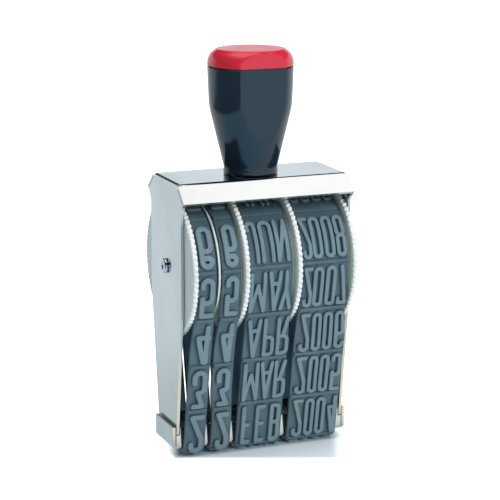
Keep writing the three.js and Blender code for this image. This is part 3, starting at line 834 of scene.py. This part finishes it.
# Sets ribs between the cells and wraps the flat band round its loop
def bandTree():
    tree, given = newGroup("bandOnLoop", [
        ("Loop", "Object"), ("Rib", "Object"), ("Rib Places", "Object"), ("Axle Height", "Float"),
        ("Half Depth", "Float"), ("Half Width", "Float"), ("Rubber", "Material"),
        ("Front Lean", "Float"), ("Foot Lean", "Float"), ("Back Lean", "Float"),
        ("Front Spread", "Float"), ("Foot Spread", "Float"), ("Back Spread", "Float"),
    ])
    places = tree.node("GeometryNodeObjectInfo", None, {"Object": given["Rib Places"]})
    rib = tree.node("GeometryNodeObjectInfo", None, {"Object": given["Rib"]})
    ribs = tree.node("GeometryNodeInstanceOnPoints", None,
                     {"Points": places.outputs["Geometry"], "Instance": rib.outputs["Geometry"]})
    joined = tree.node("GeometryNodeJoinGeometry")
    tree.made.links.new(given["Geometry"], joined.inputs[0])
    tree.made.links.new(ribs.outputs[0], joined.inputs[0])
    real = tree.node("GeometryNodeRealizeInstances", None, {0: joined.outputs[0]})
    place = tree.node("GeometryNodeInputPosition").outputs[0]
    x, distance, height = tree.parts(place)
    path = tree.node("GeometryNodeObjectInfo", None, {"Object": given["Loop"]})
    total = Number(tree, tree.node("GeometryNodeCurveLength", None, {0: path.outputs["Geometry"]}).outputs[0])
    sample = tree.node("GeometryNodeSampleCurve", {"mode": "LENGTH", "use_all_curves": False},
                       {"Curves": path.outputs["Geometry"], "Length": distance % total})
    _, onY, onZ = tree.parts(sample.outputs["Position"])
    _, wayY, wayZ = tree.parts(sample.outputs["Tangent"])
    down = (1.0 - onZ / Number(tree, given["Axle Height"])).worked("MAXIMUM", 0.0)
    low = down.step(*strandShares["lean"])
    foot = down.step(*strandShares["foot"])
    share = x / Number(tree, given["Half Width"])
    behind = (onY / Number(tree, given["Half Depth"])).worked("MULTIPLY_ADD", 0.5, 0.5, clamp=True)

    def along(kind):
        front, end, back = (Number(tree, given[part + kind]) for part in ("Front ", "Foot ", "Back "))
        return (1.0 - behind) * (front + foot * (end - front)) + behind * back

    lean, spread = along("Lean"), along("Spread")
    wide = x * (low * share * share * spread + 1.0)
    bent = tree.node("ShaderNodeCombineXYZ", None,
                     {"X": wide + low * lean, "Y": onY + wayZ * height, "Z": onZ - wayY * height})
    moved = tree.node("GeometryNodeSetPosition", None,
                      {"Geometry": real.outputs[0], "Position": bent.outputs[0]})
    turned = tree.node("GeometryNodeFlipFaces", None, {0: moved.outputs[0]})
    welded = tree.node("GeometryNodeMergeByDistance", None,
                       {0: turned.outputs[0], "Distance": weldDistance * mm})
    painted = tree.node("GeometryNodeSetMaterial", None,
                        {"Geometry": welded.outputs[0], "Material": given["Rubber"]})
    tree.node("NodeGroupOutput", None, {0: painted.outputs[0]})
    return tree


bandCrease = 28.0
bandOnLoop = bandTree()
loopPath = loopCurve()
for node in bandText:
    low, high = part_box(node)
    width = (high[0] - low[0]) / mm
    middle = (low[0] + high[0]) / 2
    mesh = flatBand(node, width)
    rib = ribMesh(width)
    ribMarks = ribPlaces(bandSizes[node]["front"])
    piece = linked(node + "_piece", mesh, rubber)
    lean, spread = bandSizes[node]["lean"], bandSizes[node]["spread"]
    grown(piece, bandOnLoop, {
        "Loop": loopPath, "Rib": rib, "Rib Places": ribMarks, "Axle Height": axleHeight * mm,
        "Half Depth": loopSizes["cornerY"] * mm, "Half Width": width / 2 * mm, "Rubber": rubber,
        "Front Lean": lean[0] * mm, "Foot Lean": lean[1] * mm, "Back Lean": lean[2] * mm,
        "Front Spread": spread[0], "Foot Spread": spread[1], "Back Spread": spread[2],
    })
    settled(piece, bandCrease)
    for vertex in piece.data.vertices:
        vertex.co.x += middle
    piece.data.update()
    dropped(rib, ribMarks)
    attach(piece, "housing")
    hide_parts(node)
    print("band", node, len(piece.data.polygons))
dropped(loopPath)

# Toothed wheels: a profile turned about the axle, with a wave of rounded teeth on its rim
wheelSizes = {
    "tip": 25.0, "toothDepth": 0.75, "teeth": 80, "stepsPerTooth": 8, "hub": 5.6, "bore": 3.3,
    "drum": 20.9, "drumWall": 2.0, "chamfer": 0.18, "ribs": 6, "rib": 1.6, "lap": 0.3,
    "flange": 1.6, "groove": 22.9, "grooveHalf": 0.5, "grooveDepth": 0.125, "rimBand": 1.3,
    "toothFrom": 1.35, "toothTo": 0.3, "toothPower": 0.62, "crease": 40.0,
}


# Runs from the flange's outer face over the rim to the drum and back to the bore, as radius and
# place across the frame
def wheelProfile(face, inner, drumEnd):
    s = wheelSizes
    side = 1 if drumEnd > inner else -1
    c, tip = s["chamfer"], s["tip"]
    pocket = s["drum"] - s["drumWall"]
    flange = [
        (s["bore"], face), (s["hub"], face), (s["groove"] - s["grooveHalf"], face),
        (s["groove"], face + side * s["grooveDepth"]), (s["groove"] + s["grooveHalf"], face),
        (tip - s["rimBand"], face), (tip - 2 * c, face), (tip - c, face + side * 0.3 * c),
        (tip - 0.3 * c, face + side * c), (tip, face + side * 2.2 * c),
        (tip, inner - side * 2.2 * c), (tip - 0.3 * c, inner - side * c),
        (tip - c, inner - side * 0.3 * c), (tip - 2 * c, inner), (tip - s["rimBand"], inner),
        (s["drum"], inner),
    ]
    drum = [
        (s["drum"], drumEnd - side * c), (s["drum"] - c, drumEnd), (pocket, drumEnd), (pocket, inner),
        (s["hub"], inner), (s["hub"], drumEnd), (s["bore"], drumEnd),
    ]
    return flange + drum


# Sweeps the profile round the axle on a grid, waves its rim into teeth and sets the drum's ribs
def wheelTree():
    s = wheelSizes
    tree, given = newGroup("toothedWheel", [
        ("Profile", "Object"), ("Profile Points", "Int"), ("Teeth", "Int"), ("Steps Per Tooth", "Int"),
        ("Tooth Depth", "Float"), ("Tip Radius", "Float"), ("Axle Height", "Float"), ("Rib", "Object"),
        ("Ribs", "Int"), ("Plastic", "Material"),
    ])
    rows = Number(tree, given["Profile Points"])
    teeth = Number(tree, given["Teeth"])
    steps = teeth * Number(tree, given["Steps Per Tooth"])
    depth = Number(tree, given["Tooth Depth"])
    tip = Number(tree, given["Tip Radius"])
    axle = Number(tree, given["Axle Height"])
    grid = tree.node("GeometryNodeMeshGrid", None, {"Vertices X": steps + 1, "Vertices Y": rows + 1})
    index = Number(tree, tree.node("GeometryNodeInputIndex").outputs[0])
    turn = (index / (rows + 1)).whole() / steps * (2 * math.pi)
    profile = tree.node("GeometryNodeObjectInfo", None, {"Object": given["Profile"]})
    here = tree.node("GeometryNodeInputPosition").outputs[0]
    sample = tree.node("GeometryNodeSampleIndex", {"data_type": "FLOAT_VECTOR", "domain": "POINT"},
                       {"Geometry": profile.outputs["Geometry"], "Value": here,
                        "Index": (index % (rows + 1)) % rows})
    radius, across, _ = tree.parts(sample.outputs[0])
    wave = ((turn * teeth).cosine() * 0.5 + 0.5) ** s["toothPower"]
    rim = radius.step(tip - s["toothFrom"] * mm, tip - s["toothTo"] * mm)
    toothed = radius - (1.0 - wave) * rim * depth
    place = tree.node("ShaderNodeCombineXYZ", None,
                      {"X": across, "Y": toothed * turn.cosine(), "Z": axle + toothed * turn.sine()})
    moved = tree.node("GeometryNodeSetPosition", None,
                      {"Geometry": grid.outputs[0], "Position": place.outputs[0]})
    welded = tree.node("GeometryNodeMergeByDistance", None,
                       {0: moved.outputs[0], "Distance": weldDistance * mm})
    centre = tree.node("ShaderNodeCombineXYZ", None, {"Z": axle})
    points = tree.node("GeometryNodeMeshLine", {"mode": "OFFSET"},
                       {"Count": given["Ribs"], "Start Location": centre.outputs[0],
                        "Offset": (0.0, 0.0, 0.0)})
    stepTurn = Number(tree, tree.node("GeometryNodeInputIndex").outputs[0]) * (2 * math.pi)
    rotation = tree.node("ShaderNodeCombineXYZ", None, {"X": stepTurn / Number(tree, given["Ribs"])})
    rib = tree.node("GeometryNodeObjectInfo", None, {"Object": given["Rib"]})
    ribs = tree.node("GeometryNodeInstanceOnPoints", None,
                     {"Points": points.outputs[0], "Instance": rib.outputs["Geometry"],
                      "Rotation": rotation.outputs[0]})
    joined = tree.node("GeometryNodeJoinGeometry")
    tree.made.links.new(welded.outputs[0], joined.inputs[0])
    tree.made.links.new(ribs.outputs[0], joined.inputs[0])
    real = tree.node("GeometryNodeRealizeInstances", None, {0: joined.outputs[0]})
    painted = tree.node("GeometryNodeSetMaterial", None,
                        {"Geometry": real.outputs[0], "Material": given["Plastic"]})
    tree.node("NodeGroupOutput", None, {0: painted.outputs[0]})
    return tree


def boxMesh(name, low, high):
    points = [(x, y, z) for x in (low[0], high[0]) for y in (low[1], high[1]) for z in (low[2], high[2])]
    faces = [(0, 1, 3, 2), (4, 6, 7, 5), (0, 4, 5, 1), (2, 3, 7, 6), (0, 2, 6, 4), (1, 5, 7, 3)]
    return meshOf(name, [np.array(p) * mm for p in points], faces)


toothedWheel = wheelTree()
drumSides = {"wheel_day_tens": 1, "wheel_day_units": -1, "wheel_month": -1, "wheel_year": -1}
for node, drumSide in drumSides.items():
    s = wheelSizes
    face, drumEnd = span(node, 0)[::drumSide]
    inner = face + drumSide * s["flange"]
    profile = wheelProfile(face, inner, drumEnd)
    chainMesh = meshOf("wheelProfile", [np.array([r, x, 0]) * mm for r, x in profile], [])
    chain = linked("wheelProfile", chainMesh)
    lap = drumSide * s["lap"]
    ends = sorted((inner - lap, drumEnd - lap))
    rib = linked("wheelRib", boxMesh("wheelRib", (ends[0], s["hub"] - s["lap"], -s["rib"] / 2),
                                     (ends[1], s["drum"] - s["drumWall"] + s["lap"], s["rib"] / 2)))
    piece = linked(node + "_piece", bpy.data.meshes.new(node), wheelPlastic)
    grown(piece, toothedWheel, {
        "Profile": chain, "Profile Points": len(profile), "Teeth": s["teeth"],
        "Steps Per Tooth": s["stepsPerTooth"], "Tooth Depth": s["toothDepth"] * mm,
        "Tip Radius": s["tip"] * mm, "Axle Height": axleHeight * mm, "Rib": rib, "Ribs": s["ribs"],
        "Plastic": wheelPlastic,
    })
    settled(piece, s["crease"])
    work = bmesh.new()
    work.from_mesh(piece.data)
    bmesh.ops.recalc_face_normals(work, faces=work.faces)
    work.to_mesh(piece.data)
    work.free()
    dropped(chain, rib)
    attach(piece, node + "_body")
    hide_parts(node)
    print("wheel", node, len(piece.data.polygons))

# Handle and cap: turned profiles with two flats that lean in a little below
gripSizes = {
    "parting": 134.8, "halfDepth": 12.25, "taper": 0.024, "around": 240, "round": 0.35, "crease": 30.0,
}
# Radius and height, from the top of the screw's hole down and up over the collar, neck and cone
gripProfile = [
    (2.3, 116.3), (2.3, 97.72), (4.0, 97.72), (9.3, 97.7), (9.5, 97.9), (9.5, 98.45), (9.43, 98.7),
    (9.4, 98.95), (9.4, 99.8), (9.45, 100.3), (9.56, 100.8), (9.75, 101.5), (10.71, 105.5), (11.67, 109.5),
    (12.63, 113.5), (13.47, 117.0), (13.8, 118.3), (13.98, 119.1), (14.13, 119.9), (14.27, 120.8),
    (14.4, 121.9), (14.52, 124.0), (14.68, 127.5), (14.8, 131.0), (14.92, 134.2), (14.93, 134.6),
    (14.75, 134.8), (12.0, 134.85), (4.0, 134.85),
]
capProfile = [
    (4.0, 134.95), (12.0, 134.95), (14.65, 134.98), (14.91, 135.15), (14.94, 135.5), (14.9, 136.1),
    (14.77, 136.9), (14.54, 137.7), (14.22, 138.45), (13.82, 139.1), (13.36, 139.6), (12.8, 139.98),
    (12.4, 140.2), (12.22, 140.34), (12.12, 140.52), (11.9, 140.66), (11.4, 140.72), (8.0, 140.88),
    (4.0, 140.97),
]


# Turns a profile and cuts it to the two flats, with the corner between flat and round broken
def squashedTurning(name, profile, material):
    s = gripSizes
    around = s["around"]
    points, faces = [(0.0, 0.0, profile[0][1])], []
    for radius, z in profile:
        flat = s["halfDepth"] + (z - s["parting"]) * s["taper"]
        for i in range(around):
            turn = 2 * math.pi * i / around
            reach = flat / max(abs(math.sin(turn)), 1e-6)
            near = max(s["round"] - abs(radius - reach), 0.0) / s["round"]
            out = min(radius, reach) - near * near * s["round"] / 4
            points.append((out * math.cos(turn), out * math.sin(turn), z))
    points.append((0.0, 0.0, profile[-1][1]))
    last = len(points) - 1
    for row in range(len(profile) - 1):
        for i in range(around):
            a, b = 1 + row * around + i, 1 + row * around + (i + 1) % around
            faces.append((a, b, b + around, a + around))
    for i in range(around):
        j = (i + 1) % around
        faces.append((0, 1 + j, 1 + i))
        faces.append((last, last - around + i, last - around + j))
    piece = linked(name, meshOf(name, [np.array(p) * mm for p in points], faces), material)
    smoothed(piece.data, s["crease"])
    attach(piece, "housing")
    return piece


handle = squashedTurning("handle_piece", gripProfile, gripPlastic)
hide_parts("handle")
cap = squashedTurning("handle_cap_piece", capProfile, capPlastic)
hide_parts("handle_cap")
print("handle turned")

# Floor and light, in metres. The floor is white paper in a darker room: what it shows to the
# camera and in the metal is set by Light Path, and it still takes the object's shadow.
floorLook = {
    "size": 6.0, "drop": 0.0001, "footX": 0.031, "footY": 0.009, "right": (0.927, -0.375),
    "paper": rgb(0.80, 0.87, 0.92), "contactShadow": rgb(0.42, 0.52, 0.57), "contactShadowFade": (0.0, 0.003),
    "aheadFade": (0.0185, 0.0245), "behindFade": (0.002, 0.008),
    "rightFade": (0.028, 0.036), "leftFade": (0.0245, 0.0305),
    "shadeSheen": rgb(0.60, 0.69, 0.72), "coolSheen": rgb(0.80, 0.88, 0.92), "coolRange": (0.03, 0.2),
    "warmSheen": rgb(1.18, 1.12, 0.96), "warmFront": (0.014, 0.03), "warmFade": (0.06, 0.16),
    "frontSheen": rgb(0.48, 0.88, 1.18), "frontRange": (0.06, 0.14),
    "blueSheen": rgb(0.78, 1.08, 1.26), "blueRange": (0.25, 0.37),
    "dark": rgb(0.13, 0.17, 0.21), "darkRange": (0.22, 0.30), "darkFade": (0.38, 0.55),
}


# The camera sees the paper with the object's shadow, darkened by a painted shadow where it meets
# the foot and whitened by painted light beyond set edges round the foot. The metal sees the
# sheens: painted reflections, a glow by place that only glossy rays see.
def floorMaterial():
    look = floorLook
    material = bpy.data.materials.new("floor_paper")
    material.use_nodes = True
    material.node_tree.nodes.clear()
    tree = Tree(material.node_tree)
    place = tree.node("ShaderNodeTexCoord").outputs["Object"]
    x, y, _ = tree.parts(place)
    light = tree.node("ShaderNodeLightPath").outputs
    besideX = (x.size() - look["footX"]).worked("MAXIMUM", 0.0)
    besideY = (y.size() - look["footY"]).worked("MAXIMUM", 0.0)
    beside = (besideX * besideX + besideY * besideY).root()
    # Painted shadow: the paper darkens where it meets the foot.
    shadowedPaper = tree.blend(beside.step(*look["contactShadowFade"]), look["contactShadow"], look["paper"])
    paper = tree.node("ShaderNodeBsdfDiffuse", None, {"Color": shadowedPaper})
    rightX, rightY = look["right"]
    ahead = (x * rightY - y * rightX).step(*look["aheadFade"])
    behind = (y - look["footY"]).step(*look["behindFade"])
    across = x * rightX + y * rightY
    aside = across.step(*look["rightFade"]).worked("MAXIMUM", (across * -1.0).step(*look["leftFade"]))
    # Painted light: the paper glows fully beyond these edges round the foot and not near it, so the shadow
    # shows only within them.
    strength = aside.worked("MAXIMUM", ahead).worked("MAXIMUM", behind)
    paperGlow = tree.node("ShaderNodeEmission", None, {"Color": rgb(1, 1, 1), "Strength": strength})
    seen = tree.node("ShaderNodeAddShader", None, {0: paper.outputs[0], 1: paperGlow.outputs[0]})
    distance = (x * x + y * y).root()
    forward = y * -1.0
    warm = forward.step(*look["warmFront"]) * (1.0 - distance.step(*look["warmFade"]))
    # Painted reflections: shadeSheen is a painted shadow near the foot, and the warm, front, blue and dark
    # glows are set by place for the metal to reflect.
    sheen = tree.blend(distance.step(*look["coolRange"]), look["shadeSheen"], look["coolSheen"])
    sheen = tree.blend(warm, sheen, look["warmSheen"])
    sheen = tree.blend((forward - x).step(*look["frontRange"]), sheen, look["frontSheen"])
    sheen = tree.blend(forward.step(*look["blueRange"]), sheen, look["blueSheen"])
    away = (x * -1.0).step(*look["darkRange"]) * (1.0 - y.step(*look["darkFade"]))
    sheen = tree.blend(away, sheen, look["dark"])
    mirror = tree.node("ShaderNodeEmission", None, {"Color": sheen})
    plain = tree.node("ShaderNodeMixShader", None,
                      {0: light["Is Camera Ray"], 1: paper.outputs[0], 2: seen.outputs[0]})
    final = tree.node("ShaderNodeMixShader", None,
                      {0: light["Is Glossy Ray"], 1: plain.outputs[0], 2: mirror.outputs[0]})
    tree.node("ShaderNodeOutputMaterial", None, {"Surface": final.outputs[0]})
    return material


half = floorLook["size"] / 2
floorCorners = [(-half, -half, 0), (half, -half, 0), (half, half, 0), (-half, half, 0)]
floor = linked("floor", meshOf("floor", floorCorners, [(0, 1, 2, 3)]), floorMaterial())
floor.location.z = -floorLook["drop"]

skyLook = {
    "ambient": rgb(0.30, 0.31, 0.32), "cool": rgb(0.86, 0.94, 0.98), "dark": rgb(0.03, 0.045, 0.06),
    "lamp": rgb(1.60, 1.53, 1.49), "sideRange": (0.62, 0.85), "darkRange": (0.24, 0.32),
    "lampReflectionRange": (0.80, 0.88),
}


# What the metal sees of the room, painted into reflections only: a pale wall low down, dark above
# it, and a painted reflection of a lamp overhead. Other rays see the grey ambient, the camera white.
def setSky():
    look = skyLook
    world = bpy.data.worlds.new("studio")
    scene.world = world
    world.use_nodes = True
    world.node_tree.nodes.clear()
    tree = Tree(world.node_tree)
    x, _, z = tree.parts(tree.node("ShaderNodeTexCoord").outputs["Generated"])
    light = tree.node("ShaderNodeLightPath").outputs
    low = tree.blend((x * -1.0).step(*look["sideRange"]), look["cool"], look["dark"])
    sheen = tree.blend(z.step(*look["darkRange"]), low, look["dark"])
    sheen = tree.blend(z.step(*look["lampReflectionRange"]), sheen, look["lamp"])
    seen = tree.blend(Number(tree, light["Is Glossy Ray"]), look["ambient"], sheen)
    seen = tree.blend(Number(tree, light["Is Camera Ray"]), seen, rgb(1, 1, 1))
    sky = tree.node("ShaderNodeBackground", None, {"Color": seen})
    tree.node("ShaderNodeOutputWorld", None, {"Surface": sky.outputs[0]})


setSky()

aim = Vector((0, 0, 0.06))
lamps = {
    "softbox_top": {"place": (-0.10, 0.05, 0.95), "size": 0.7, "power": 6.0},
    "softbox_left": {"place": (-0.75, -0.60, 0.60), "size": 0.5, "power": 0.8},
    "softbox_front": {"place": (0.60, -0.95, 0.55), "size": 0.5, "power": 10.0},
}
for name, lamp in lamps.items():
    data = bpy.data.lights.new(name, "AREA")
    data.size = lamp["size"]
    data.energy = lamp["power"]
    light = bpy.data.objects.new(name, data)
    light.location = lamp["place"]
    light.rotation_euler = (aim - Vector(lamp["place"])).to_track_quat("-Z", "Y").to_euler()
    light.visible_glossy = False
    scene.collection.objects.link(light)
print("studio lit")
